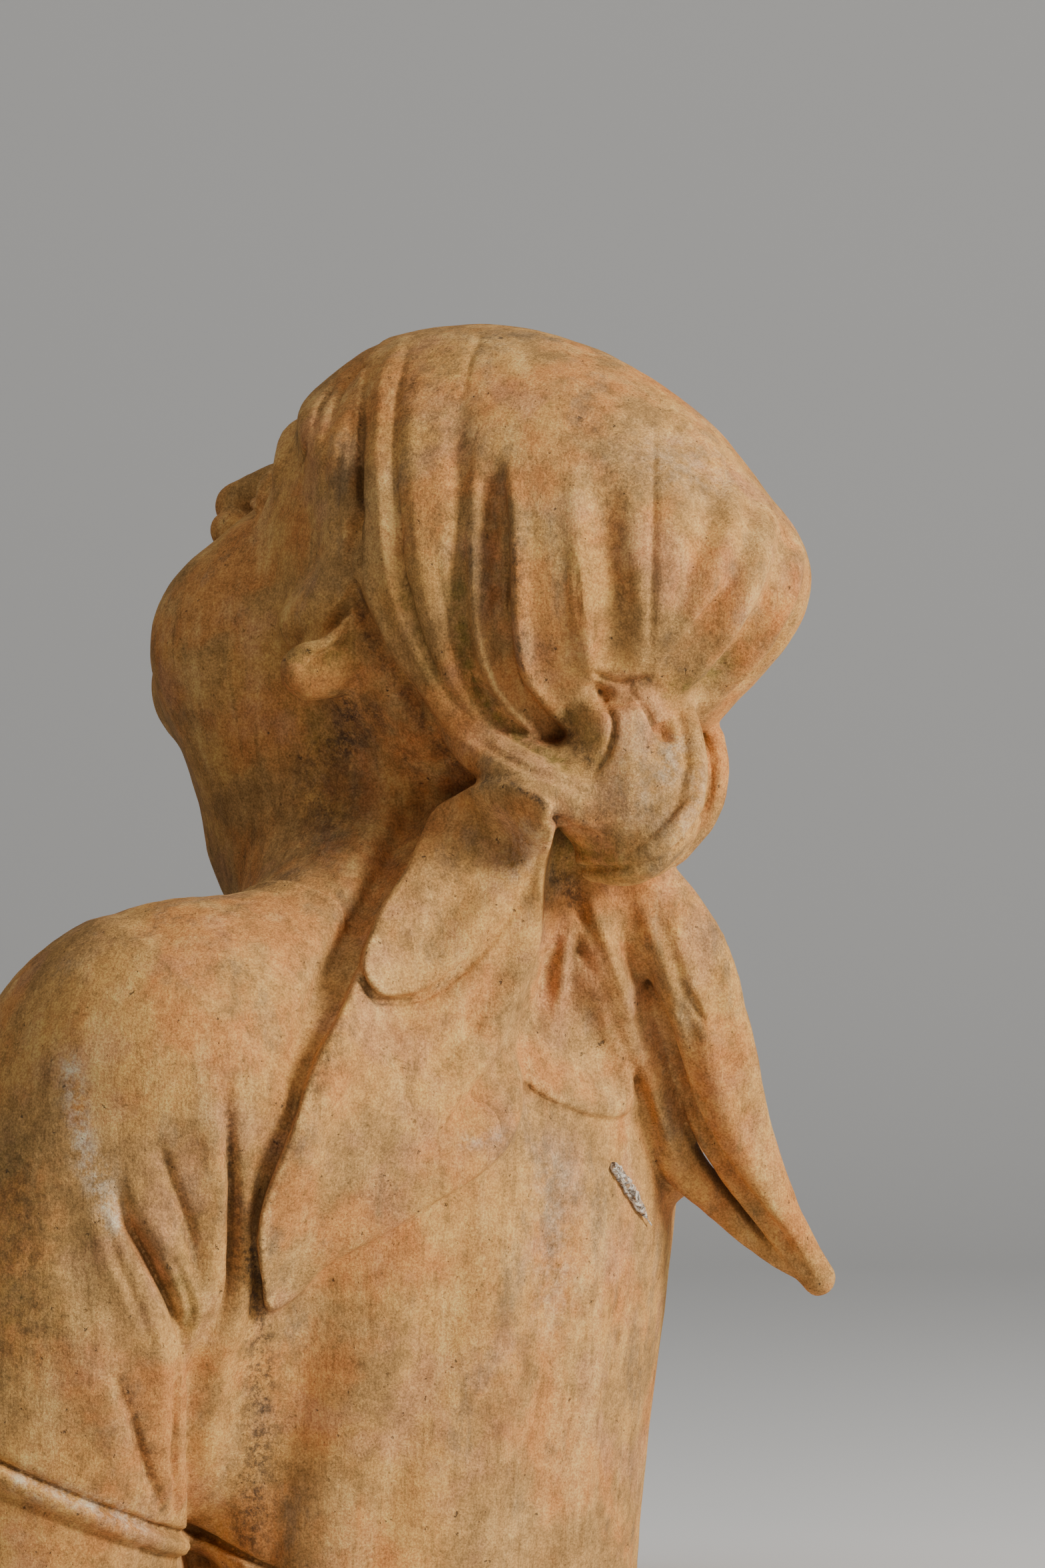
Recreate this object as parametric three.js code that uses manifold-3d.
// Terracotta half figure of a girl in a knotted headscarf, cut flat below the chest.
// Millimetres, +Z up. The origin is in the middle of the flat underside.
// The girl faces -Y, so her left is +X.
import * as THREE from "three";
import Module from "manifold-3d";

// Driving dimensions
const HEAD_TILT = 42; // degrees that the face is thrown back
const HEAD_SIZE = 1.04; // size of the head beside the one its eggs are given for
const HEAD = { x: 0, y: 2, z: 356 }; // middle of the head, between the ears
const SCARF_TILT = 32; // degrees that the scarf's cap leans back
const SCARF = { x: 0, y: 5, z: 368 }; // middle of the scarf's cap
const DRAWING_TURN = 125; // degrees round from the front: the drawing is from behind her left shoulder
const DRAWING_EYE = { across: 36, up: 314, away: 3000 }; // where the drawing is seen from
const HAIR_SHOWS = 34; // width of the band of hair in front of the scarf
const FOLD_REACH = 2.5; // widths beyond which a fold is flat
const SKIN_ACROSS = [[-212, 18], [-100, 11], [104, 18], [230, 18]]; // where each spacing of the skin starts
const SKIN_DEEP = [[-196, 15], [-120, 11], [176, 13], [202, 13]];
const SKIN_UP = [[-60, 20], [110, 11], [502, 11]];
const TERRACOTTA = { color: 0xc08a58, roughness: 0.85, metalness: 0 };

// Trunk and neck: height, half width, front and back of each level
const TRUNK = [
  [-60, 102, -76, 66],
  [20, 104, -78, 67],
  [70, 107, -82, 72],
  [110, 112, -86, 77],
  [150, 118, -88, 81],
  [190, 121, -82, 81],
  [220, 108, -74, 72],
  [245, 84, -70, 62],
  [265, 66, -76, 58],
  [290, 61, -90, 56],
  [320, 57, -94, 54],
  [350, 54, -78, 52],
];

// Arms in their sleeves and the shoulders over them: x, y, z and radius
const LEFT_ARM = [
  [126, -36, 197, 66],
  [136, -51, 140, 68],
  [144, -68, 80, 67],
  [148, -80, 30, 62],
  [148, -86, -60, 60],
];
const RIGHT_ARM = [
  [-108, -8, 206, 50],
  [-116, -58, 140, 56],
  [-120, -84, 80, 58],
  [-122, -94, 30, 56],
  [-122, -98, -60, 54],
];
const LEFT_SHOULDER = [
  [30, 22, 262, 34],
  [84, 2, 238, 40],
  [118, -18, 212, 58],
];
const RIGHT_SHOULDER = [
  [-30, 22, 262, 34],
  [-76, 6, 238, 36],
  [-106, -6, 212, 46],
];

// Right tail, a roll that stands off the back: across, up, near, half width and half thickness
const RIGHT_TAIL = [
  [70, 300, 50, 7, 8],
  [76, 284, 50, 12, 11],
  [88, 262, 46, 19.5, 13],
  [96.5, 246, 42, 19.5, 14],
  [104, 225, 34, 17, 14],
  [112.5, 192, 22, 15.5, 13],
  [121, 172, 14, 13, 12],
  [134, 149, 8, 9, 10],
  [147, 129, 3, 7, 8],
];
// Fold on the inner side of the right tail: across, up, near and radius
const RIGHT_TAIL_FOLD = [
  [62, 278, 56, 8],
  [70, 250, 44, 8],
  [79, 219, 32, 9],
  [87, 192, 18, 10],
  [95, 173, 8, 9],
  [110, 157, 2, 7],
  [128, 140, 1, 6],
];
// Outlines of the laid pieces of cloth in the drawing: across and up
const BACK_CORNER = [
  [44, 292],
  [42, 258],
  [37, 233],
  [34, 218],
  [37, 204],
  [52, 194],
  [71, 188],
  [80, 202],
  [74, 219],
  [68, 242],
  [60, 263],
  [57, 292],
];
const LEFT_TAIL = [
  [46, 304],
  [22, 314],
  [0, 295],
  [-10, 275],
  [-24, 250],
  [-34, 227],
  [-43, 205],
  [-50, 183],
  [-60, 160],
  [-63, 145],
  [-62, 129],
  [-59, 117],
  [-48, 122],
  [-35, 135],
  [-16, 145],
  [2, 156],
  [22, 169],
  [31, 179],
  [36, 192],
  [34, 218],
  [37, 233],
  [42, 253],
  [44, 275],
];
const LEFT_TAIL_LEAF = [
  [46, 306],
  [35, 313],
  [22, 314],
  [4, 306],
  [-2, 296],
  [-5, 285],
  [-12, 274],
  [-21, 263],
  [-25, 251],
  [-24, 242],
  [-12, 234],
  [0, 237],
  [10, 245],
  [22, 257],
  [32, 268],
  [40, 281],
  [45, 295],
];

// Folds of the scarf in the drawing: height (a valley where negative), width, and points across and up
const SCARF_FOLDS = [
  [3, 8, [-9, 482], [-16, 468], [-18, 448], [-16, 423], [-12, 395], [-1, 369], [16, 334], [30, 325]],
  [-4, 8, [12, 473], [13, 441], [12, 418], [13, 393], [17, 354], [32, 334], [50, 321]],
  [-7, 8, [24, 432], [25, 418], [26, 395], [26, 375], [29, 358], [43, 338], [57, 320]],
  [4, 9, [34, 428], [36, 402], [38, 373], [44, 343], [56, 328]],
  [-5, 9, [65, 428], [69, 402], [71, 383], [71, 370], [68, 357]],
  [-3, 9, [124, 423], [118, 406], [106, 385], [91, 359]],
  [3, 10, [134, 417], [128, 395], [112, 373], [94, 349]],
  [-4, 10, [138, 406], [132, 388], [118, 366], [100, 349]],
];
// Folds of the shirt, under the left arm and across its sleeve
const SHIRT_FOLDS = [
  [-8, 10, [-82, 120], [-86, 90], [-88, 50], [-88, 0], [-86, -20]],
  [-5, 8, [-111, 152], [-104, 138], [-95, 121], [-90, 105]],
  [3, 9, [-108, 168], [-98, 145], [-90, 125]],
];

// Distances
const { min, max, abs, sqrt, sin, cos, hypot, floor, ceil, exp, PI } = Math;
const radians = (degrees) => (degrees * PI) / 180;

// Two forms melted together, the part they share, and one cut out of the other
const melt = (a, b, soft) => {
  const near = max(soft - abs(a - b), 0) / soft;
  return min(a, b) - near * near * soft * 0.25;
};
const overlap = (a, b, soft) => -melt(-a, -b, soft);
const carve = (a, b, soft) => -melt(-a, b, soft);

const egg = ([cx, cy, cz], [rx, ry, rz]) => (x, y, z) => {
  const px = (x - cx) / rx;
  const py = (y - cy) / ry;
  const pz = (z - cz) / rz;
  const size = hypot(px, py, pz);
  return (size * (size - 1)) / (hypot(px / rx, py / ry, pz / rz) + 1e-9);
};

// A smooth row of values through the rows given, at a place from 0 to 1
const smoothRow = (rows, place) => {
  const last = rows.length - 1;
  const at = min(max(place, 0), 1) * last;
  const i = min(floor(at), last - 1);
  const s = at - i;
  const [a, b, c, d] = [max(i - 1, 0), i, i + 1, min(i + 2, last)].map((k) => rows[k]);
  return b.map((v, k) => {
    const slope = c[k] - a[k];
    const bend = 2 * a[k] - 5 * v + 4 * c[k] - d[k];
    const twist = 3 * v - a[k] - 3 * c[k] + d[k];
    return 0.5 * (2 * v + slope * s + bend * s * s + twist * s * s * s);
  });
};
const smoothPath = (rows, steps = 4) => {
  const count = (rows.length - 1) * steps;
  return Array.from({ length: count + 1 }, (_, i) => smoothRow(rows, i / count));
};

// How far along the line from a to b the nearest place to p is, from 0 to 1
const along = (p, a, b) => {
  let dot = 0;
  let length = 0;
  for (let c = 0; c < p.length; c++) {
    dot += (p[c] - a[c]) * (b[c] - a[c]);
    length += (b[c] - a[c]) ** 2;
  }
  return min(max(dot / length, 0), 1);
};
const away = (p, a, b, t) => {
  let sum = 0;
  for (let c = 0; c < p.length; c++) sum += (p[c] - a[c] - t * (b[c] - a[c])) ** 2;
  return sqrt(sum);
};

// Distance to a path, and the place on it
const nearestOn = (path, p) => {
  let best = Infinity;
  let where = 0;
  for (let i = 0; i + 1 < path.length; i++) {
    const t = along(p, path[i], path[i + 1]);
    const d = away(p, path[i], path[i + 1], t);
    if (d < best) {
      best = d;
      where = i + t;
    }
  }
  return [best, where];
};

// A round limb along rows of x, y, z and radius
const limb = (rows) => {
  const path = smoothPath(rows);
  return (x, y, z) => {
    const p = [x, y, z];
    let best = Infinity;
    for (let i = 0; i + 1 < path.length; i++) {
      const t = along(p, path[i], path[i + 1]);
      const radius = path[i][3] + t * (path[i + 1][3] - path[i][3]);
      best = min(best, away(p, path[i], path[i + 1], t) - radius);
    }
    return best;
  };
};

// A flattened roll along rows of x, y, z, half width and half thickness; side is the direction of its width
const roll = (rows, side) => {
  const path = smoothPath(rows);
  return (x, y, z) => {
    const [, where] = nearestOn(path, [x, y, z]);
    const i = min(floor(where), path.length - 2);
    const [cx, cy, cz, wide, thick] = path[i].map((v, k) => v + (path[i + 1][k] - v) * (where - i));
    const across = (x - cx) * side[0] + (y - cy) * side[1] + (z - cz) * side[2];
    const rest = sqrt(max((x - cx) ** 2 + (y - cy) ** 2 + (z - cz) ** 2 - across ** 2, 0));
    const size = hypot(across / wide, rest / thick);
    return (size * (size - 1)) / (hypot(across / wide ** 2, rest / thick ** 2) + 1e-9);
  };
};

// The drawing: across and up in its plane, and near for how far in front of that plane
const turnC = cos(radians(DRAWING_TURN));
const turnS = sin(radians(DRAWING_TURN));
const seen = (across, up, near) => {
  const k = (DRAWING_EYE.away - near) / DRAWING_EYE.away;
  const a = DRAWING_EYE.across + (across - DRAWING_EYE.across) * k;
  const z = DRAWING_EYE.up + (up - DRAWING_EYE.up) * k;
  return [turnC * a + turnS * near, turnS * a - turnC * near, z];
};
const drawn = (x, y, z) => {
  const near = turnS * x - turnC * y;
  const k = DRAWING_EYE.away / (DRAWING_EYE.away - near);
  const a = DRAWING_EYE.across + (turnC * x + turnS * y - DRAWING_EYE.across) * k;
  return [a, DRAWING_EYE.up + (z - DRAWING_EYE.up) * k, near];
};
const seenRows = (rows) => rows.map(([across, up, near, ...sizes]) => [...seen(across, up, near), ...sizes]);

// Where a line of sight through the drawing meets a form
const castOn = (form, across, up) => {
  let near = 240;
  let d = Infinity;
  while (near > -200 && d > 0.3) {
    d = form(...seen(across, up, near));
    near -= max(d * 0.7, 0.4);
  }
  return seen(across, up, near);
};

// Distance to a closed outline in the drawing, less than zero within it
const outline = (rows) => {
  const n = rows.length;
  const path = [];
  for (let i = 0; i < n; i++) {
    const four = [rows[(i + n - 1) % n], rows[i], rows[(i + 1) % n], rows[(i + 2) % n]];
    for (const s of [1, 1.25, 1.5, 1.75]) path.push(smoothRow(four, s / 3));
  }
  return (p) => {
    let best = Infinity;
    let within = false;
    for (let i = 0; i < path.length; i++) {
      const a = path[i];
      const b = path[(i + 1) % path.length];
      best = min(best, away(p, a, b, along(p, a, b)));
      const level = (p[1] - a[1]) / (b[1] - a[1]);
      if (a[1] > p[1] !== b[1] > p[1] && p[0] < a[0] + level * (b[0] - a[0])) within = !within;
    }
    return within ? -best : best;
  };
};

// A form given as forward, left and up of a head that is thrown back
const tilted = (middle, tilt, size, form) => {
  const c = cos(radians(tilt)) / size;
  const s = sin(radians(tilt)) / size;
  return (x, y, z) => {
    const ahead = middle.y - y;
    const over = z - middle.z;
    return form(ahead * c + over * s, (x - middle.x) / size, over * c - ahead * s) * size;
  };
};

// Body: everything that is melted together so far
const trunk = (x, y, z) => {
  const last = TRUNK.length - 1;
  let i = 0;
  while (i < last - 1 && z > TRUNK[i + 1][0]) i++;
  const part = min(max((z - TRUNK[i][0]) / (TRUNK[i + 1][0] - TRUNK[i][0]), 0), 1);
  const [, wide, front, back] = smoothRow(TRUNK, (i + part) / last);
  const deep = (back - front) / 2;
  const px = x / wide;
  const py = (y - (front + back) / 2) / deep;
  const size = hypot(px, py);
  return max((size * (size - 1)) / (hypot(px / wide, py / deep) + 1e-9), z - TRUNK[last][0]);
};
let body = trunk;
const add = (form, soft) => {
  const before = body;
  body = (x, y, z) => melt(before(x, y, z), form(x, y, z), soft);
};

// Cloth laid on the body within outlines: the thickness at the top and at the end of each, and their heights
const lay = (pieces) => {
  const before = body;
  const laid = pieces.map(([rows, ...sizes]) => [outline(rows), ...sizes]);
  body = (x, y, z) => {
    const bare = before(x, y, z);
    if (bare > 36) return bare;
    const [across, up, near] = drawn(x, y, z);
    let d = bare;
    for (const [edge, thickTop, thickEnd, top, end, behind] of laid) {
      const thick = thickEnd + (thickTop - thickEnd) * min(max((up - end) / (top - end), 0), 1);
      const out = max(edge([across, up]), behind - near);
      if (out < 14) d = melt(d, overlap(bare - thick, out, 8), 7);
    }
    return d;
  };
};

// Folds raised from the body, or sunk into it
const fold = (folds) => {
  const before = body;
  const laid = folds.map(([height, width, ...rows]) => {
    const path = smoothPath(rows).map(([across, up]) => castOn(before, across, up));
    return { height, width, path };
  });
  body = (x, y, z) => {
    let d = before(x, y, z);
    if (d > 25) return d;
    for (const { height, width, path } of laid) {
      const [off, where] = nearestOn(path, [x, y, z]);
      if (off > FOLD_REACH * width) continue;
      const place = min(max(where / (path.length - 1), 0.02), 0.98);
      d -= height * sqrt(sin(PI * place)) * exp(-((off / width) ** 2));
    }
    return d;
  };
};

add(limb(LEFT_SHOULDER), 40);
add(limb(RIGHT_SHOULDER), 40);
add(limb(LEFT_ARM), 24);
add(limb(RIGHT_ARM), 24);

fold(SHIRT_FOLDS);

// Head, as forward, left and up from between the ears
const skull = egg([-4, 0, 34], [86, 74, 78]);
const brow = egg([46, 0, 44], [40, 50, 34]);
const face = egg([46, 0, -16], [46, 52, 56]);
const jaw = egg([50, 0, -56], [38, 42, 32]);
const chin = egg([70, 0, -72], [18, 20, 16]);
const cheek = egg([48, 38, -30], [34, 30, 32]);
const jawCorner = egg([14, 42, -38], [36, 22, 36]);
const socket = egg([88, 30, 18], [18, 17, 12]);
const eye = egg([69, 30, 18], [13, 13, 13]);
const nose = limb([[84, 0, 26, 6], [97, 0, 6, 7.5], [105, 0, -12, 9]]);
const nostril = egg([95, 11, -17], [9, 7, 7]);
const lips = limb([[86, 22, -45, 3], [95, 8, -45, 6], [97, 0, -46, 7]]);
add(tilted(HEAD, HEAD_TILT, HEAD_SIZE, (f, l, u) => {
  const side = abs(l);
  let d = melt(skull(f, l, u), brow(f, l, u), 30);
  d = melt(d, face(f, l, u), 26);
  d = melt(d, jaw(f, l, u), 26);
  d = melt(d, jawCorner(f, side, u), 20);
  d = melt(d, cheek(f, side, u), 20);
  d = melt(d, chin(f, l, u), 16);
  d = carve(d, socket(f, side, u), 12);
  d = melt(d, eye(f, side, u), 2);
  d = melt(d, nose(f, l, u), 10);
  d = melt(d, nostril(f, side, u), 5);
  return melt(d, lips(f, side, u), 4);
}), 18);

// Scarf: a cap over the head and the rolled-up hair behind, open over the forehead and at the nape.
// A band of hair shows in front of its edge.
const opening = (ahead) => tilted(SCARF, SCARF_TILT, 1, (f, l, u) => {
  const front = (f - ahead - 0.89 * (u - 35) - 20 * (1 - (l / 76) ** 2)) * 0.74;
  const under = (f - ahead * 0.5 - 6) * 0.52 - (u - 35) * 0.854;
  return overlap(front, under, 20);
});
const hairCap = tilted(SCARF, SCARF_TILT, 1, egg([-4, 0, 36], [96, 81, 82]));
const hairOpening = opening(HAIR_SHOWS);
add((x, y, z) => overlap(hairCap(x, y, z), hairOpening(x, y, z), 14), 10);
const cap = tilted(SCARF, SCARF_TILT, 1, egg([-4, 0, 36], [98, 83, 84]));
const crownHair = egg([0, 45, 389], [66, 92.5, 86.5]);
const rolledHair = egg([0, 91, 388.5], [60, 71, 45]);
const topHair = egg([0, 85, 418], [50, 39, 35]);
const scarfOpening = opening(0);
add((x, y, z) => {
  const hair = melt(melt(crownHair(x, y, z), rolledHair(x, y, z), 24), topHair(x, y, z), 20);
  return overlap(melt(cap(x, y, z), hair, 20), scarfOpening(x, y, z), 6);
}, 3);
fold(SCARF_FOLDS);

// Knot, and the cloth gathered into it
const knot = egg(seen(78, 311, 82), [26, 26, 32]);
const knotTop = egg(seen(74, 338, 84), [21, 19, 18]);
const knotWrap = limb(seenRows([
  [64, 285, 84, 8],
  [78, 285, 98, 9],
  [90, 298, 100, 10],
  [95, 317, 93, 10],
  [93, 334, 84, 9],
  [85, 347, 72, 8],
]));
const knotFar = limb(seenRows([
  [92, 292, 52, 8],
  [102, 304, 50, 8],
  [106, 319, 50, 7.5],
  [106, 331, 50, 5.5],
]));
const gathered = limb(seenRows([
  [4, 352, 66, 5],
  [18, 333, 72, 8],
  [33, 322, 76, 11],
  [50, 313, 82, 15],
  [73, 308, 84, 20],
]));
add((x, y, z) => {
  let d = melt(melt(knot(x, y, z), knotTop(x, y, z), 9), knotFar(x, y, z), 5);
  d = melt(d, gathered(x, y, z), 10);
  return melt(d, knotWrap(x, y, z), 5);
}, 5);

// Clay that carries the tails between the knot, the neck and the back
add(limb(seenRows([[40, 296, 50, 18], [20, 262, 60, 24], [0, 230, 68, 20]])), 14);
add(limb(seenRows([[66, 286, 40, 20], [66, 250, 34, 24], [68, 215, 14, 18]])), 14);
add(limb(seenRows([[80, 240, 10, 10], [88, 200, -2, 13], [94, 170, -10, 10]])), 10);

// Tails and the back corner of the scarf
lay([
  [BACK_CORNER, 9, 6, 290, 190, -10],
  [LEFT_TAIL, 14, 6, 290, 140, 0],
  [LEFT_TAIL_LEAF, 21, 18, 290, 240, 0],
]);
add(limb(seenRows(RIGHT_TAIL_FOLD)), 3);
add(roll(seenRows(RIGHT_TAIL), [turnC, turnS, 0]), 3);

// Skin of a form, as one closed mesh with a point in each cell that the surface passes through
const CORNERS = [0, 1, 2, 3, 4, 5, 6, 7].map((c) => [c & 1, (c >> 1) & 1, (c >> 2) & 1]);
const EDGES = [1, 2, 4].flatMap((bit) => {
  return CORNERS.flatMap((_, a) => (a & bit ? [] : [[a, a | bit]]));
});
const SIDES = [
  [0, 1, 3, 2],
  [4, 5, 7, 6],
  [0, 1, 5, 4],
  [2, 3, 7, 6],
  [0, 2, 6, 4],
  [1, 3, 7, 5],
];
const spaced = (zones) => {
  const marks = [zones[0][0]];
  for (let i = 0; i + 1 < zones.length; i++) {
    const [start, spacing] = zones[i];
    const length = zones[i + 1][0] - start;
    const count = ceil(length / spacing);
    for (let k = 1; k <= count; k++) marks.push(start + (length * k) / count);
  }
  return marks;
};
// A cell is clear when the surface passes through it once, as a single sheet
const isClear = (within) => {
  const crossed = SIDES.some(([a, b, c, d]) => {
    return within[a] === within[c] && within[b] === within[d] && within[a] !== within[b];
  });
  const label = [0, 1, 2, 3, 4, 5, 6, 7];
  for (let pass = 0; pass < 4; pass++)
    for (const [a, b] of EDGES) if (within[a] === within[b]) label[a] = label[b] = min(label[a], label[b]);
  return !crossed && new Set(label).size <= 2;
};
const CLEAR = Array.from({ length: 256 }, (_, mask) => isClear(CORNERS.map((_, c) => (mask >> c) & 1)));

const skin = (form, xs, ys, zs) => {
  const [nx, ny, nz] = [xs.length, ys.length, zs.length];
  const at = (i, j, k) => i + nx * (j + ny * k);
  const cells = [];
  const depth = new Float64Array(nx * ny * nz);
  for (let k = 0; k < nz; k++)
    for (let j = 0; j < ny; j++)
      for (let i = 0; i < nx; i++) {
        depth[at(i, j, k)] = form(xs[i], ys[j], zs[k]);
        if (i + 1 < nx && j + 1 < ny && k + 1 < nz) cells.push([i, j, k]);
      }
  const cornersOf = ([i, j, k]) => CORNERS.map(([a, b, c]) => at(i + a, j + b, k + c));
  const maskOf = (ids) => ids.reduce((mask, id, c) => mask | ((depth[id] < 0 ? 1 : 0) << c), 0);
  // Fill the weakest empty corner of each cell that isn't clear, until all are
  let filled = true;
  while (filled) {
    filled = false;
    for (const cell of cells) {
      const ids = cornersOf(cell);
      if (CLEAR[maskOf(ids)]) continue;
      const empty = ids.filter((id) => depth[id] >= 0);
      depth[empty.reduce((w, id) => (depth[id] < depth[w] ? id : w))] = -0.01;
      filled = true;
    }
  }

  // Settle each point on the surface, within its own cell
  const settled = (start, low, high) => {
    let p = start;
    for (let pass = 0; pass < 4; pass++) {
      const v = form(...p);
      const slope = p.map((_, c) => (form(...p.map((q, m) => q + (m === c ? 0.5 : 0))) - v) / 0.5);
      const steep = slope.reduce((sum, s) => sum + s * s, 1e-6);
      p = p.map((q, c) => {
        const pad = (high[c] - low[c]) * 0.1;
        return min(max(q - (0.8 * v * slope[c]) / steep, low[c] + pad), high[c] - pad);
      });
    }
    return p;
  };
  const pointOf = new Map();
  const points = [];
  for (const cell of cells) {
    const ids = cornersOf(cell);
    const mask = maskOf(ids);
    if (mask === 0 || mask === 255) continue;
    const crossings = EDGES.filter(([a, b]) => depth[ids[a]] < 0 !== depth[ids[b]] < 0);
    const middle = [0, 0, 0];
    for (const [a, b] of crossings) {
      const t = depth[ids[a]] / (depth[ids[a]] - depth[ids[b]]);
      const share = (c) => (CORNERS[a][c] + (CORNERS[b][c] - CORNERS[a][c]) * t) / crossings.length;
      for (const c of [0, 1, 2]) middle[c] += share(c);
    }
    const low = [xs, ys, zs].map((marks, c) => marks[cell[c]]);
    const high = [xs, ys, zs].map((marks, c) => marks[cell[c] + 1]);
    pointOf.set(at(...cell), points.length / 3);
    points.push(...settled(middle.map((m, c) => low[c] + (high[c] - low[c]) * m), low, high));
  }

  // Join the points of the four cells round each edge that the surface crosses
  const faces = [];
  const quad = (ids, turned) => {
    const [p, q, r, s] = ids.map((id) => pointOf.get(id));
    faces.push(...(turned ? [p, q, r, p, r, s] : [p, r, q, p, s, r]));
  };
  for (const [i, j, k] of cells) {
    if (i === 0 || j === 0 || k === 0) continue;
    const within = depth[at(i, j, k)] < 0;
    if (within !== depth[at(i + 1, j, k)] < 0)
      quad([at(i, j, k), at(i, j - 1, k), at(i, j - 1, k - 1), at(i, j, k - 1)], within);
    if (within !== depth[at(i, j + 1, k)] < 0)
      quad([at(i, j, k), at(i, j, k - 1), at(i - 1, j, k - 1), at(i - 1, j, k)], within);
    if (within !== depth[at(i, j, k + 1)] < 0)
      quad([at(i, j, k), at(i - 1, j, k), at(i - 1, j - 1, k), at(i, j - 1, k)], within);
  }
  return { points, faces };
};

// The block that takes away everything below the flat underside
const block = new THREE.BoxGeometry(600, 600, 100).translate(0, 0, -50);

const kernel = await Module();
kernel.setup();
const solid = (points, faces) =>
  new kernel.Manifold(new kernel.Mesh({
    numProp: 3,
    vertProperties: Float32Array.from(points),
    triVerts: Uint32Array.from(faces),
  }));
const boxCorners = (geometry) => {
  const corner = new Map();
  const points = [];
  const position = geometry.getAttribute("position");
  const faces = Array.from(geometry.index.array, (v) => {
    const p = [position.getX(v), position.getY(v), position.getZ(v)];
    const key = p.join();
    if (!corner.has(key)) {
      corner.set(key, points.length / 3);
      points.push(...p);
    }
    return corner.get(key);
  });
  return { points, faces };
};
const closed = (x, y, z) => max(body(x, y, z), -15 - z);
const whole = skin(closed, spaced(SKIN_ACROSS), spaced(SKIN_DEEP), spaced(SKIN_UP));
const below = boxCorners(block);
const cut = solid(whole.points, whole.faces).subtract(solid(below.points, below.faces)).getMesh();

const geometry = new THREE.BufferGeometry();
geometry.setAttribute("position", new THREE.Float32BufferAttribute(cut.vertProperties, cut.numProp));
geometry.setIndex(new THREE.Uint32BufferAttribute(cut.triVerts, 1));
geometry.computeVertexNormals();
const figure = new THREE.Mesh(geometry, new THREE.MeshStandardMaterial(TERRACOTTA));
figure.name = "figure";

const group = new THREE.Group();
group.name = "terracotta-half-figure";
group.add(figure);
export default group;
